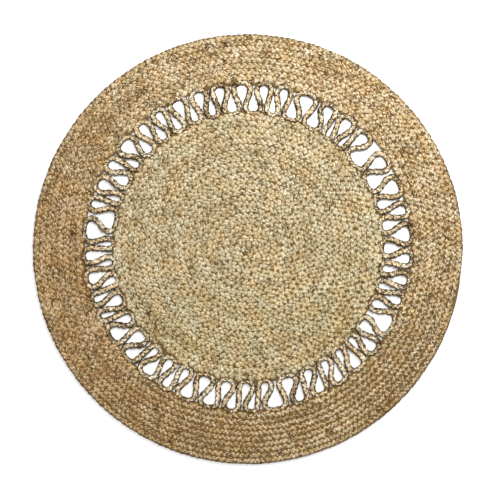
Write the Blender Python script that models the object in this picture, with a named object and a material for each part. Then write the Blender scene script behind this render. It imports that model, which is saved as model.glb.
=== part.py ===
"""A round rug of braided jute, lying flat.

Three pieces of one flat braid: a coiled centre disc, a braid laid in loops around it, and a coiled
outer band.  The rows of both coils are raised as ribs.  Metres, +Z up, the origin in the middle of
the rug's underside.
"""
import math

import bmesh
import bpy
import numpy as np
from mathutils import Vector

# The rug
RUG_RADIUS = 0.600
OPENWORK_CENTRE = Vector((0.0, 0.0055, 0.0))    # the loops lie a little off the rug's middle
DISC_RADIUS = 0.368
BAND_INNER_RADIUS = 0.467

# The braid
BRAID_HEIGHT = 0.0090
LOOP_SHOULDER = 0.0030          # how much narrower the loop braid's top is, on each side
DISC_TURNS = 23.5
BAND_TURNS = 8.5

# The ribs of a coil
VALLEY_HEIGHT = 0.0058          # between two rows
RIM_HEIGHT = 0.0045             # the widest level of the first and last row
RIM_TUCK = 0.0012               # how far the underside's edge is drawn in
THINNEST_ROW = 0.2              # share of a row's width at which a tapered end stops
BAND_TAPER = 30.0               # degrees over which the braid's ends taper off
FULL_TURN = 360.0               # the middle of the disc tapers over its first turn
DISC_STATIONS = 48              # steps in one turn
BAND_STATIONS = 72
BAND_START = 180.0              # degrees, where the band's first row begins
DISC_START = 60.0

# The loops
CROWN_WIDTH = 0.0120            # of the braid where it is pulled round the end of a loop
DISC_LEG_WIDTH = 0.0145         # of a leg near the disc
BAND_LEG_WIDTH = 0.0155         # of a leg near the band
DISC_LOOP_END = 0.0160          # from a loop's crown to its widest part, against the disc
BAND_LOOP_END = 0.0180          # the same, against the band
CROWN_POWER = 2.4               # 2 for an ellipse, more for squarer crowns
CROWN_STEPS = 25
LEG_STEPS = 24
LEG_TURN = 1.5                  # 1 for a gentle S in each leg, more for one that turns in its middle
DISC_SEAT_GAP = 0.0002          # from a loop to the disc's edge that it is sewn to
BAND_SEAT_GAP = 0.0006          # from a loop to the band's edge
NECK_GAP = 0.0010               # between two legs that touch
DRAWN_TOGETHER = 0.0050         # the most that a leg is moved to touch the one beside it
ROUTE_STEP = 0.0025
PUSH_ROUNDS = 40                # times that the legs are pushed apart where they would overlap
PUSH_SPREAD = 6                 # rounds of averaging that spread a push along the braid
PUSH_STRENGTH = 1.0
STRAIGHTENING = 0.15
NEAREST_LEG = 0.030             # along the braid to the next leg that a stretch may touch
FURTHEST_LEG = 0.280
LONG_STEP = 0.025                # the longest step along the solid's route
SHARP_TURN = 42.0               # the most degrees that it turns in one step

# One row for each pair of loops, anticlockwise from +X about the middle of the openwork:
# the loop that lies against the band, its angle (degrees) and clear width (mm), then the next
# loop, which lies against the disc, its angle and clear width.
LOOP_PAIRS = (
    # outer    wide  inner    wide
    (5.0,     46.0,  9.0,     28.0),
    (13.0,    24.0,  17.5,    22.0),
    (22.5,    33.0,  28.0,    37.0),
    (32.5,    28.0,  39.0,    45.0),
    (43.5,    24.0,  48.0,    10.0),
    (51.5,    27.0,  55.0,    13.0),
    (59.5,    28.0,  62.5,    39.0),
    (68.0,    39.0,  72.0,    36.0),
    (77.0,    22.0,  79.5,    19.0),
    (84.0,    27.0,  88.0,    27.0),
    (92.0,    29.0,  96.5,    30.0),
    (100.5,   29.0,  104.5,   21.0),
    (108.0,   34.0,  112.0,   19.0),
    (116.0,   35.0,  120.0,   19.0),
    (124.0,   25.0,  127.5,   25.0),
    (131.5,   33.0,  135.0,   25.0),
    (140.0,   49.0,  143.5,   13.0),
    (148.5,   29.0,  151.5,   23.0),
    (156.5,   28.0,  160.0,   11.0),
    (164.0,   17.0,  168.5,   47.0),
    (174.5,   54.0,  178.5,   5.0),
    (182.5,   33.0,  186.5,   11.0),
    (191.5,   33.0,  193.5,   18.0),
    (199.0,   18.0,  202.0,   24.0),
    (205.5,   15.0,  210.5,   18.0),
    (213.0,   40.0,  219.5,   26.0),
    (222.5,   32.0,  228.5,   14.0),
    (231.0,   38.0,  235.5,   16.0),
    (239.0,   25.0,  244.0,   16.0),
    (247.0,   33.0,  252.0,   31.0),
    (256.0,   30.0,  261.0,   21.0),
    (264.0,   25.0,  269.5,   16.0),
    (271.0,   15.0,  277.0,   13.0),
    (280.0,   38.0,  286.5,   28.0),
    (289.5,   23.0,  295.5,   19.0),
    (297.0,   30.0,  303.5,   19.0),
    (305.0,   31.0,  310.5,   14.0),
    (313.0,   35.0,  318.5,   12.0),
    (321.0,   26.0,  326.0,   25.0),
    (331.5,   50.0,  336.5,   17.0),
    (340.5,   26.0,  344.0,   13.0),
    (348.0,   28.0,  351.5,   22.0),
    (356.0,   29.0,  359.5,   36.0),
)

# Colours of the three pieces, linear, and their roughness
DISC_COLOUR = (0.50, 0.39, 0.22, 1.0)
LOOP_COLOUR = (0.41, 0.33, 0.20, 1.0)
BAND_COLOUR = (0.40, 0.29, 0.15, 1.0)
JUTE_ROUGHNESS = 0.9


def clear_scene():
    for item in list(bpy.data.objects):
        bpy.data.objects.remove(item, do_unlink=True)


def jute_material(name, colour):
    material = bpy.data.materials.new(name)
    material.use_nodes = True
    shader = material.node_tree.nodes["Principled BSDF"]
    shader.inputs["Base Color"].default_value = colour
    shader.inputs["Roughness"].default_value = JUTE_ROUGHNESS
    shader.inputs["Metallic"].default_value = 0.0
    return material


def add_piece(name, shape, colour):
    """Makes one object of a finished bmesh, with its own material."""
    bmesh.ops.recalc_face_normals(shape, faces=shape.faces)
    mesh = bpy.data.meshes.new(name)
    shape.to_mesh(mesh)
    shape.free()
    piece = bpy.data.objects.new(name, mesh)
    bpy.context.scene.collection.objects.link(piece)
    mesh.materials.append(jute_material(name, colour))
    return piece


def polar(centre, angle, radius, height=0.0):
    return centre + Vector((radius * math.cos(angle), radius * math.sin(angle), height))


# ---------------------------------------------------------------- the two coils

def distance_to_circle(angle, centre, radius):
    """From the rug's middle, at an angle, to a circle whose own middle lies a little off it."""
    along = centre.x * math.cos(angle) + centre.y * math.sin(angle)
    aside = centre.x * math.sin(angle) - centre.y * math.cos(angle)
    return along + math.sqrt(radius ** 2 - aside ** 2)


class Coil:
    """The rows of a coiled braid between an inner edge and a circular outer edge.

    A row is named by how many stations the braid has run since its start, so the row beside
    station n is n + stations, one turn later.
    """

    def __init__(self, centre, outer_radius, hole, turns, stations, start, tapers):
        self.centre = centre
        self.outer_radius = outer_radius
        self.hole = hole
        self.stations = stations
        self.start = math.radians(start)
        self.length = round(turns * stations)
        self.tapers = [taper / 360.0 * stations for taper in tapers]

    def angle(self, station):
        return self.start + math.tau * station / self.stations

    def inner_edge(self, angle):
        if self.hole is None:
            return 0.0
        hole_centre, hole_radius = self.hole
        return distance_to_circle(angle, hole_centre - self.centre, hole_radius)

    def row_share(self, run):
        """The row's width as a share of a full row, 0 where a tapered end has stopped."""
        share = min(1.0, run / self.tapers[0], (self.length - run) / self.tapers[1])
        return share if share >= THINNEST_ROW else 0.0

    def profile(self, station):
        """The top of the coil at one station: (name, radius, height) from the inside out."""
        angle = self.angle(station)
        inner = self.inner_edge(angle)
        rows = [(run, self.row_share(run)) for run in range(station, self.length, self.stations)]
        rows = [(run, share) for run, share in rows if share > 0.0]
        row_width = (self.outer_radius - inner) / sum(share for _, share in rows)
        points = []
        radius = inner
        for run, share in rows:
            if points:
                points.append((("valley", run), radius, VALLEY_HEIGHT))
            rise = (BRAID_HEIGHT - VALLEY_HEIGHT) * math.sqrt(share)
            points.append((("crest", run), radius + share * row_width / 2, VALLEY_HEIGHT + rise))
            radius += share * row_width
        return points


def stitch(shape, before, after):
    """Fills the strip between two profiles.  A row that starts or ends there closes on its edge."""
    names_after = [name for name, _ in after]
    pairs = []
    for place, ((line, run), _) in enumerate(before):
        later = (line, None if run is None else run + 1)
        if later in names_after:
            pairs.append((place, names_after.index(later)))
    for (before_from, after_from), (before_to, after_to) in zip(pairs, pairs[1:]):
        loop = [vertex for _, vertex in before[before_from:before_to + 1]]
        loop += [vertex for _, vertex in reversed(after[after_from:after_to + 1])]
        corners = []
        for vertex in loop:
            if vertex not in corners:
                corners.append(vertex)
        shape.faces.new(corners)


def coil_solid(coil):
    """A closed solid of the coil: ribbed top, rounded rims and a flat underside."""
    shape = bmesh.new()
    middle = None
    if coil.hole is None:
        middle = shape.verts.new(coil.centre + Vector((0.0, 0.0, VALLEY_HEIGHT)))
    strips = []
    for station in range(coil.stations):
        angle = coil.angle(station)
        strip = []
        if middle is None:
            inner = coil.inner_edge(angle)
            foot = shape.verts.new(polar(coil.centre, angle, inner + RIM_TUCK))
            rim = shape.verts.new(polar(coil.centre, angle, inner, RIM_HEIGHT))
            strip += [(("inner foot", None), foot), (("inner rim", None), rim)]
        else:
            strip.append((("middle", None), middle))
        for name, radius, height in coil.profile(station):
            strip.append((name, shape.verts.new(polar(coil.centre, angle, radius, height))))
        outer = coil.outer_radius
        rim = shape.verts.new(polar(coil.centre, angle, outer, RIM_HEIGHT))
        foot = shape.verts.new(polar(coil.centre, angle, outer - RIM_TUCK))
        strip += [(("outer rim", None), rim), (("outer foot", None), foot)]
        strips.append(strip)
    for strip, beside in zip(strips, strips[1:] + strips[:1]):
        stitch(shape, strip, beside)
    feet = [strip[-1][1] for strip in strips]
    if middle is not None:
        shape.faces.new(feet)
    else:
        inner_feet = [strip[0][1] for strip in strips]
        for place in range(coil.stations):
            after = (place + 1) % coil.stations
            shape.faces.new((inner_feet[place], feet[place], feet[after], inner_feet[after]))
    bmesh.ops.triangulate(shape, faces=shape.faces)
    return shape


# ---------------------------------------------------------------- the ring of loops

class Loop:
    """One loop of the openwork: the angles of its two legs, and how far out its crown lies."""

    def __init__(self, angle, clear_width, inward):
        self.leg_width = DISC_LEG_WIDTH if inward else BAND_LEG_WIDTH
        half_width = (clear_width / 1000.0 + self.leg_width) / 2
        if inward:
            self.crown = DISC_RADIUS + DISC_SEAT_GAP + CROWN_WIDTH / 2
            self.widest = self.crown + min(DISC_LOOP_END, half_width)
        else:
            self.crown = BAND_INNER_RADIUS - BAND_SEAT_GAP - CROWN_WIDTH / 2
            self.widest = self.crown - min(BAND_LOOP_END, half_width)
        self.start = math.radians(angle) - half_width / self.widest
        self.end = math.radians(angle) + half_width / self.widest

    def crown_points(self):
        """Angle, radius and width of the braid round the end of the loop."""
        turn = np.linspace(-math.pi / 2, math.pi / 2, CROWN_STEPS)
        aside = np.sign(turn) * np.abs(np.sin(turn)) ** (2.0 / CROWN_POWER)
        rise = np.abs(np.cos(turn)) ** (2.0 / CROWN_POWER)
        angle = (self.start + self.end) / 2 + aside * (self.end - self.start) / 2
        radius = self.widest + (self.crown - self.widest) * rise
        width = self.leg_width + (CROWN_WIDTH - self.leg_width) * rise ** 1.5
        return np.stack([angle, radius, width], axis=1)

    def leg_points(self, after, turn):
        """The same down the leg from this loop's crown to the next one's."""
        share = np.linspace(0.0, 1.0, LEG_STEPS + 1)[1:-1]
        gentle = share ** 2 * (3.0 - 2.0 * share)
        brisk = share ** 3 * (share * (6.0 * share - 15.0) + 10.0)
        eased = gentle + (LEG_TURN - 1.0) * (brisk - gentle)
        angle = self.end + (after.start + turn - self.end) * eased
        radius = self.widest + (after.widest - self.widest) * share
        width = self.leg_width + (after.leg_width - self.leg_width) * share
        return np.stack([angle, radius, width], axis=1)


def lay_loops():
    """The loops in order, their legs set side by side where they are meant to touch."""
    loops = []
    for outer_angle, outer_width, inner_angle, inner_width in LOOP_PAIRS:
        loops.append(Loop(outer_angle, outer_width, False))
        loops.append(Loop(inner_angle, inner_width, True))
    count = len(loops)
    for most in (DRAWN_TOGETHER, 0.0):
        for place, loop in enumerate(loops):
            beside = loops[(place + 2) % count]
            turn = math.tau * ((place + 2) // count)
            gap = (beside.start + turn - loop.end) * loop.widest - loop.leg_width - NECK_GAP
            move = min(gap / 2, most) / loop.widest
            loop.end += move
            beside.start -= move
    return loops


def spaced(points, run, wanted):
    """The values of a closed row of points at wanted places along it."""
    closed = np.vstack([points, points[:1]])
    return np.stack([np.interp(wanted, run, column) for column in closed.T], axis=1)


def averaged(values):
    return (np.roll(values, 1, axis=0) + 2.0 * values + np.roll(values, -1, axis=0)) / 4.0


def overlap_push(route, width):
    """How far each point is to move so that the braid doesn't run into its own other legs."""
    push = np.zeros_like(route)
    most = np.zeros(len(route))
    for steps in range(round(NEAREST_LEG / ROUTE_STEP), round(FURTHEST_LEG / ROUTE_STEP)):
        for offset in (steps, -steps):
            away = route - np.roll(route, offset, axis=0)
            distance = np.hypot(away[:, 0], away[:, 1])
            short = (width + np.roll(width, offset)) / 2 + NECK_GAP - distance
            worse = short > most
            most[worse] = short[worse]
            push[worse] = away[worse] * (short[worse] / distance[worse] / 2)[:, None]
    return push


def braid_route():
    """The closed route of the loop braid's middle about the openwork's, and its width there."""
    loops = lay_loops()
    stretches = []
    for place, loop in enumerate(loops):
        after = loops[(place + 1) % len(loops)]
        turn = math.tau * ((place + 1) // len(loops))
        stretches += [loop.crown_points(), loop.leg_points(after, turn)]
    angle, radius, width = np.concatenate(stretches).T
    points = np.stack([radius * np.cos(angle), radius * np.sin(angle), width], axis=1)
    steps = np.diff(points, axis=0, append=points[:1])
    run = np.concatenate([[0.0], np.cumsum(np.hypot(steps[:, 0], steps[:, 1]))])
    wanted = np.linspace(0.0, run[-1], round(run[-1] / ROUTE_STEP), endpoint=False)
    points = spaced(points, run, wanted)
    route, width = points[:, :2], points[:, 2]
    for _ in range(PUSH_ROUNDS):
        push = overlap_push(route, width)
        for _ in range(PUSH_SPREAD):
            push = averaged(push)
        route = route + PUSH_STRENGTH * push
        route = route + 2.0 * STRAIGHTENING * (averaged(route) - route)
        out = np.hypot(route[:, 0], route[:, 1])
        least = DISC_RADIUS + DISC_SEAT_GAP + width / 2
        most = BAND_INNER_RADIUS - BAND_SEAT_GAP - width / 2
        route = route * (np.clip(out, least, most) / out)[:, None]
    return route, width


def thinned(route, width):
    """The route in fewer points, closer together where it bends."""
    steps = np.diff(route, axis=0, append=route[:1])
    heading = np.arctan2(steps[:, 1], steps[:, 0])
    bend = np.abs((heading - np.roll(heading, 1) + math.pi) % math.tau - math.pi)
    for _ in range(PUSH_SPREAD):
        bend = averaged(bend)
    cost = np.hypot(steps[:, 0], steps[:, 1]) / LONG_STEP + bend / math.radians(SHARP_TURN)
    run = np.concatenate([[0.0], np.cumsum(cost)])
    wanted = np.linspace(0.0, run[-1], math.ceil(run[-1]), endpoint=False)
    return spaced(np.column_stack([route, width]), run, wanted)


def braid_solid(points):
    """A closed ring of braid along the route, flat underneath, as wide as the route says."""
    shape = bmesh.new()
    rings = []
    places = [OPENWORK_CENTRE + Vector((x, y, 0.0)) for x, y, _ in points]
    for place, (point, (_, _, width)) in enumerate(zip(places, points)):
        before = (point - places[place - 1]).normalized()
        after = (places[(place + 1) % len(places)] - point).normalized()
        along = (before + after).normalized()
        mitre = 1.0 / along.dot(after)
        side = Vector((along.y, -along.x, 0.0)) * mitre
        half = width / 2
        section = (
            # across                  height
            (-half + RIM_TUCK,        0.0),
            (half - RIM_TUCK,         0.0),
            (half,                    RIM_HEIGHT),
            (half - LOOP_SHOULDER,    BRAID_HEIGHT),
            (-half + LOOP_SHOULDER,   BRAID_HEIGHT),
            (-half,                   RIM_HEIGHT),
        )
        rings.append([shape.verts.new(point + side * across + Vector((0.0, 0.0, height)))
                      for across, height in section])
    for place, ring in enumerate(rings):
        after = rings[(place + 1) % len(rings)]
        for corner, vertex in enumerate(ring):
            beside = (corner + 1) % len(ring)
            shape.faces.new((vertex, ring[beside], after[beside], after[corner]))
    bmesh.ops.triangulate(shape, faces=shape.faces)
    return shape


def main():
    clear_scene()
    disc = Coil(OPENWORK_CENTRE, DISC_RADIUS, None, DISC_TURNS, DISC_STATIONS, DISC_START,
                (FULL_TURN, BAND_TAPER))
    band = Coil(Vector((0.0, 0.0, 0.0)), RUG_RADIUS, (OPENWORK_CENTRE, BAND_INNER_RADIUS),
                BAND_TURNS, BAND_STATIONS, BAND_START, (BAND_TAPER, BAND_TAPER))
    add_piece("centre_disc", coil_solid(disc), DISC_COLOUR)
    add_piece("loop_braid", braid_solid(thinned(*braid_route())), LOOP_COLOUR)
    add_piece("outer_band", coil_solid(band), BAND_COLOUR)


main()
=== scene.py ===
"""The looks of a round rug of braided jute, laid over the rug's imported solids.

A coiled centre disc, a ring of open loops and a coiled outer band are plaited here strand by strand
from three-strand flat braid.  Metres, +Z up, the origin in the middle of the rug's underside.
"""

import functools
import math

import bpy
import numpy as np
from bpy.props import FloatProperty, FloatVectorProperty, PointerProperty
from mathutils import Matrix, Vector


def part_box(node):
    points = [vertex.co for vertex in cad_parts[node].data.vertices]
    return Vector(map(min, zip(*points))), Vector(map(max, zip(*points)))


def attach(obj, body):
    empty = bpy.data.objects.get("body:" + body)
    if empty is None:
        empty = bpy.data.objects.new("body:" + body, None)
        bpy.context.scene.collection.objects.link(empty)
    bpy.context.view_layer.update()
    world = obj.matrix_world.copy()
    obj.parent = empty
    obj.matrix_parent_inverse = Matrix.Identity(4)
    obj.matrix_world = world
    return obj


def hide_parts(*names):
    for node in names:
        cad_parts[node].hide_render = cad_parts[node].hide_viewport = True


bl_info = {
    "name": "Round Jute Rug",
    "version": (1, 0, 0),
    "blender": (4, 5, 0),
    "location": "3D View > Sidebar > Jute Rug",
    "description": "Plaits the strands of a round braided jute rug over its solids and sets its stage",
    "category": "Add Mesh",
}

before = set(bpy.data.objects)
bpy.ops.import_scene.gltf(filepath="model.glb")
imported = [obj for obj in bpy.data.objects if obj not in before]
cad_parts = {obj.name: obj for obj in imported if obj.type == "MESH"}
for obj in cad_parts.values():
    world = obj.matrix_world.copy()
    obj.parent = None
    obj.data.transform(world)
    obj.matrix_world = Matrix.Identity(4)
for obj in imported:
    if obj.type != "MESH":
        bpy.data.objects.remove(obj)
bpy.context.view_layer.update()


def circle_of(node):
    """The middle, seen from above, and the radius of a round node of the frame."""
    low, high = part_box(node)
    return np.array([(low.x + high.x) / 2, (low.y + high.y) / 2]), (high.x - low.x) / 2


# ---------------------------------------------------------------- sizes that the solids fix

RUG_CENTRE, RUG_RADIUS = circle_of("outer_band")
OPENWORK_CENTRE, DISC_RADIUS = circle_of("centre_disc")
BRAID_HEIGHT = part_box("centre_disc")[1].z
BAND_INNER_RADIUS = 0.467       # about the middle of the openwork

DISC_TURNS = 23.5
DISC_START = 60.0               # degrees
DISC_TAPERS = (1.0, 1.0 / 12)   # turns over which the braid's two ends grow to full width
BAND_TURNS = 8.5
BAND_START = 180.0
BAND_TAPERS = (1.0 / 12, 1.0 / 12)
TURN_STEPS = 720                # points of a coil's route in one turn
FIRST_SHARE = 0.3               # the disc's braid starts at this share of its width

CROWN_WIDTH = 0.0120            # of the braid where it is pulled round the end of a loop
DISC_LEG_WIDTH = 0.0145         # of a leg near the disc
BAND_LEG_WIDTH = 0.0155         # of a leg near the band
DISC_LOOP_END = 0.0160          # from a loop's crown to its widest part, against the disc
BAND_LOOP_END = 0.0180          # the same, against the band
CROWN_POWER = 2.4               # 2 for an ellipse, more for squarer crowns
CROWN_FULLNESS = 1.5            # how long the braid keeps its leg's width before a crown
CROWN_STEPS = 25                # points of the route round a crown
LEG_STEPS = 24                  # and down a leg
LEG_TURN = 1.5                  # 1 for a gentle S in each leg, more for one that turns in its middle
DISC_SEAT_GAP = 0.0002          # from a loop to the disc's edge that it is sewn to
BAND_SEAT_GAP = 0.0006          # from a loop to the band's edge
NECK_GAP = 0.0010               # between two legs that touch
DRAWN_TOGETHER = 0.0050         # the most that a leg is moved to touch the one beside it
ROUTE_STEP = 0.0025             # from one point of the loop braid's route to the next
PUSH_ROUNDS = 40                # times that the legs are pushed apart where they would overlap
PUSH_SPREAD = 6                 # rounds of averaging that spread a push along the braid
STRAIGHTENING = 0.15            # how much of its bends the braid then loses
NEAREST_LEG = 0.030             # along the braid to the next leg that a stretch may touch
FURTHEST_LEG = 0.280

# One row for each pair of loops, anticlockwise from +X about the middle of the openwork:
# the loop that lies against the band, its angle (degrees) and clear width (mm), then the next
# loop, which lies against the disc, its angle and clear width.
LOOP_PAIRS = (
    # outer    wide  inner    wide
    (5.0,     46.0,  9.0,     28.0),
    (13.0,    24.0,  17.5,    22.0),
    (22.5,    33.0,  28.0,    37.0),
    (32.5,    28.0,  39.0,    45.0),
    (43.5,    24.0,  48.0,    10.0),
    (51.5,    27.0,  55.0,    13.0),
    (59.5,    28.0,  62.5,    39.0),
    (68.0,    39.0,  72.0,    36.0),
    (77.0,    22.0,  79.5,    19.0),
    (84.0,    27.0,  88.0,    27.0),
    (92.0,    29.0,  96.5,    30.0),
    (100.5,   29.0,  104.5,   21.0),
    (108.0,   34.0,  112.0,   19.0),
    (116.0,   35.0,  120.0,   19.0),
    (124.0,   25.0,  127.5,   25.0),
    (131.5,   33.0,  135.0,   25.0),
    (140.0,   49.0,  143.5,   13.0),
    (148.5,   29.0,  151.5,   23.0),
    (156.5,   28.0,  160.0,   11.0),
    (164.0,   17.0,  168.5,   47.0),
    (174.5,   54.0,  178.5,   5.0),
    (182.5,   33.0,  186.5,   11.0),
    (191.5,   33.0,  193.5,   18.0),
    (199.0,   18.0,  202.0,   24.0),
    (205.5,   15.0,  210.5,   18.0),
    (213.0,   40.0,  219.5,   26.0),
    (222.5,   32.0,  228.5,   14.0),
    (231.0,   38.0,  235.5,   16.0),
    (239.0,   25.0,  244.0,   16.0),
    (247.0,   33.0,  252.0,   31.0),
    (256.0,   30.0,  261.0,   21.0),
    (264.0,   25.0,  269.5,   16.0),
    (271.0,   15.0,  277.0,   13.0),
    (280.0,   38.0,  286.5,   28.0),
    (289.5,   23.0,  295.5,   19.0),
    (297.0,   30.0,  303.5,   19.0),
    (305.0,   31.0,  310.5,   14.0),
    (313.0,   35.0,  318.5,   12.0),
    (321.0,   26.0,  326.0,   25.0),
    (331.5,   50.0,  336.5,   17.0),
    (340.5,   26.0,  344.0,   13.0),
    (348.0,   28.0,  351.5,   22.0),
    (356.0,   29.0,  359.5,   36.0),
)

# ---------------------------------------------------------------- the strands

STATIONS = 12                   # rings of a strand in one plait
ROW_WIDTH = 0.0157              # a coiled row at full width
STRAND_REACH = 0.0051           # how far a strand swings from the braid's middle
EDGE_HOLD = 0.04                # above 0 it runs along the edge, below 0 it turns sharply there
CREST_LAG = 0.25                # radians of a plait by which a strand's crests are set outwards
CREST_BULGE = 0.12              # how much wider a strand is where it crosses over
CREST_START = 0.75              # of half a turn, where a strand comes up to a new crest
CREST_RISE = 0.85               # share of the room above and below that a strand's swing takes up
EDGE_THICKNESS = 0.08           # how much thicker it is where it turns at the edge
DOME = 0.0020                   # how much lower the braid's edges lie than its middle
PLAIT_SHARES = (0.4, 1.1)       # the least and most of the plait's length in a narrow or wide braid

# How far each thing strays from even, mostly as a share of itself, and the length over which it drifts.
PACE_STRAY = (0.22, 0.06)       # of the plait's length
MIDDLE_STRAY = (0.0004, 0.04)   # of the braid's middle to its side, in metres
ROLL_STRAY = (1.0, 0.045)       # of the braid's roll about its length
LOOP_ROLL = 0.25                # radians that the loop braid rolls at most
ROLL_LIFT = 0.004               # how far a braid rolled by a right angle would be lifted
TURN_STRAY = (0.45, 0.030)      # of a strand's place in the plait, in radians
SWING_STRAY = (0.12, 0.02)      # of its swing to the sides
CREST_STRAY = (0.16, 0.018)     # of its swing up and down
WIDTH_STRAY = (0.20, 0.014)
THICKNESS_STRAY = (0.12, 0.014)

BAND_TIGHT_ANGLE = 285.0        # where the band is sewn tightest, in degrees
TIGHT_REACH = (0.1, 0.9)        # cosines of the turn from there at which that begins and is full
TIGHT_NARROW = 0.09             # there a strand swings less far to the sides,
TIGHT_LOW = 0.35                # less far up and down,
TIGHT_DOME = 0.0009             # and the braid's edges lie lower still

SECTION = (
    # across  up, as shares of a strand's half width and half thickness
    (1.00,    0.00),
    (0.78,    0.68),
    (0.00,    1.00),
    (-0.78,   0.68),
    (-1.00,   0.00),
    (-0.78,   -0.68),
    (0.00,    -1.00),
    (0.78,    -0.68),
)
CAP = ((0, 1, 2, 3), (0, 3, 4, 7), (4, 5, 6, 7))
SHARP_ANGLE = math.radians(80.0)
FIBRE_TWIST = 60.0              # radians that the fibres turn round a strand in each metre
MAP_FILL = 0.65                 # sets how many rings lie in one row of the baking map
MAP_INSET = 0.06                # free share above and below each strip of that map
CAP_MAP = 0.001                 # the corner of the map that the strands' cut ends share

FLANK_SHARES = (0.48, 0.95)     # of the half width, between which painted shade darkens the loops' sides
SEWN_ROOM = (0.0015, 0.0060)    # from the disc or the band, within which that painted shade is weaker
DISC_PALER = 0.35               # by this much at the disc
BAND_PALER = 0.80               # and at the band
RIM_SHADE = 0.0045              # width of the rug's rim that gets painted shade

LAYER_TOP = 0.0048              # the matted fibre between the rows, dark as painted shade, which closes them to light
LAYER_FOOT = 0.0040
LAYER_INSET = 0.0015            # how far the band's layer stays inside the rug's rim
LAYER_TUCK = 0.0005             # how far the layers reach under the loops' ends
LAYER_STEPS = 1024              # corners of a layer's edge
MIDDLE_HOLE = 0.0010            # radius of the hole in the middle of the disc's layer
CORE_TOP = 0.0040               # the matted fibre inside the loop braid, dark as painted shade down its edges
CORE_FOOT = 0.0008
CORE_SHARE = 0.86               # of the loop braid's width

WAVE_ANGLES = 4096              # places round the openwork where its edges' waves are worked out
WAVE_MOST = 0.0080              # how far an edge row is drawn in between two loops
WAVE_GAP = 0.0006               # from a wave's crest to the loop that it meets
WAVE_FADE = 1.0                 # how fast the wave dies out from row to row
WAVE_SPREAD = 10                # rounds of averaging that smooth the wave
NOTCH_MOST = 0.0120             # how far the layers, dark as painted shade, reach in between two loops
NOTCH_MOUTH = 0.0090            # how far in the gap between two loops' ends is measured
NOTCH_WIDTHS = (0.0180, 0.0320) # a gap up to the first is filled, from the second on it is open
NOTCH_LEAST = 0.0030            # how far the fibre reaches into a wide gap


class RugSizes(bpy.types.PropertyGroup):
    """Sizes of the braid and its strands"""
    plait_length: FloatProperty(
        name="Plait length", description="Length in which each strand of a braid comes round once",
        default=0.0444, min=0.02, max=0.1, unit="LENGTH")
    strand_width: FloatProperty(
        name="Strand width", description="Width of one strand of the braid",
        default=0.0084, min=0.003, max=0.02, unit="LENGTH")
    strand_thickness: FloatProperty(
        name="Strand thickness", description="Thickness of one strand of the braid",
        default=0.0043, min=0.002, max=0.01, unit="LENGTH")
    unevenness: FloatProperty(
        name="Unevenness", description="How unevenly the strands are spun and plaited by hand",
        default=1.0, min=0.0, max=2.0, subtype="FACTOR")


class JuteColours(bpy.types.PropertyGroup):
    """Colours of the jute, linear"""
    disc: FloatVectorProperty(
        name="Centre disc", description="Main colour of the coiled centre",
        default=(0.565, 0.47, 0.27), min=0.0, max=1.0, size=3, subtype="COLOR")
    loops: FloatVectorProperty(
        name="Loops", description="Main colour of the ring of open loops",
        default=(0.57, 0.42, 0.20), min=0.0, max=1.0, size=3, subtype="COLOR")
    band: FloatVectorProperty(
        name="Outer band", description="Main colour of the coiled border",
        default=(0.545, 0.40, 0.20), min=0.0, max=1.0, size=3, subtype="COLOR")
    highlight: FloatVectorProperty(
        name="Pale fibre", description="Colour of the palest fibre",
        default=(0.91, 0.83, 0.66), min=0.0, max=1.0, size=3, subtype="COLOR")
    # the dark end of the jute's colours: dark fibre, and painted shade in the creases between the
    # strands
    dark_fibre_and_shade: FloatVectorProperty(
        name="Creases", description="Colour of the fibre deep in the creases between the strands",
        default=(0.115, 0.060, 0.006), min=0.0, max=1.0, size=3, subtype="COLOR")
    red_brown: FloatVectorProperty(
        name="Red-brown", description="Tint of the tanned stretches of fibre",
        default=(0.64, 0.40, 0.26), min=0.0, max=1.0, size=3, subtype="COLOR")
    bark: FloatVectorProperty(
        name="Bark", description="Colour of the dark flecks of bark in the fibre",
        default=(0.035, 0.016, 0.005), min=0.0, max=1.0, size=3, subtype="COLOR")


class StageSettings(bpy.types.PropertyGroup):
    """Floor, light and camera"""
    floor: FloatVectorProperty(
        name="Floor", description="Colour of the plain floor",
        default=(0.98, 0.98, 0.98), min=0.0, max=1.0, size=3, subtype="COLOR")
    sun: FloatProperty(
        name="Sun", description="Strength of the soft main light",
        default=1.7, min=0.0, max=20.0)
    lamp: FloatProperty(
        name="Lamp", description="Power in watts of the near lamp at the upper right",
        default=27.0, min=0.0, max=500.0)
    sky: FloatProperty(
        name="Sky", description="Strength of the even light from all around",
        default=0.48, min=0.0, max=5.0)
    lens: FloatProperty(
        name="Lens", description="Focal length of the camera in millimetres",
        default=85.0, min=20.0, max=300.0)


# ---------------------------------------------------------------- routes

def distance_to_circle(angle, centre, radius):
    """From the rug's middle, at an angle, to a circle whose own middle lies a little off it."""
    along = centre[0] * np.cos(angle) + centre[1] * np.sin(angle)
    aside = centre[0] * np.sin(angle) - centre[1] * np.cos(angle)
    return along + np.sqrt(radius ** 2 - aside ** 2)


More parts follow.
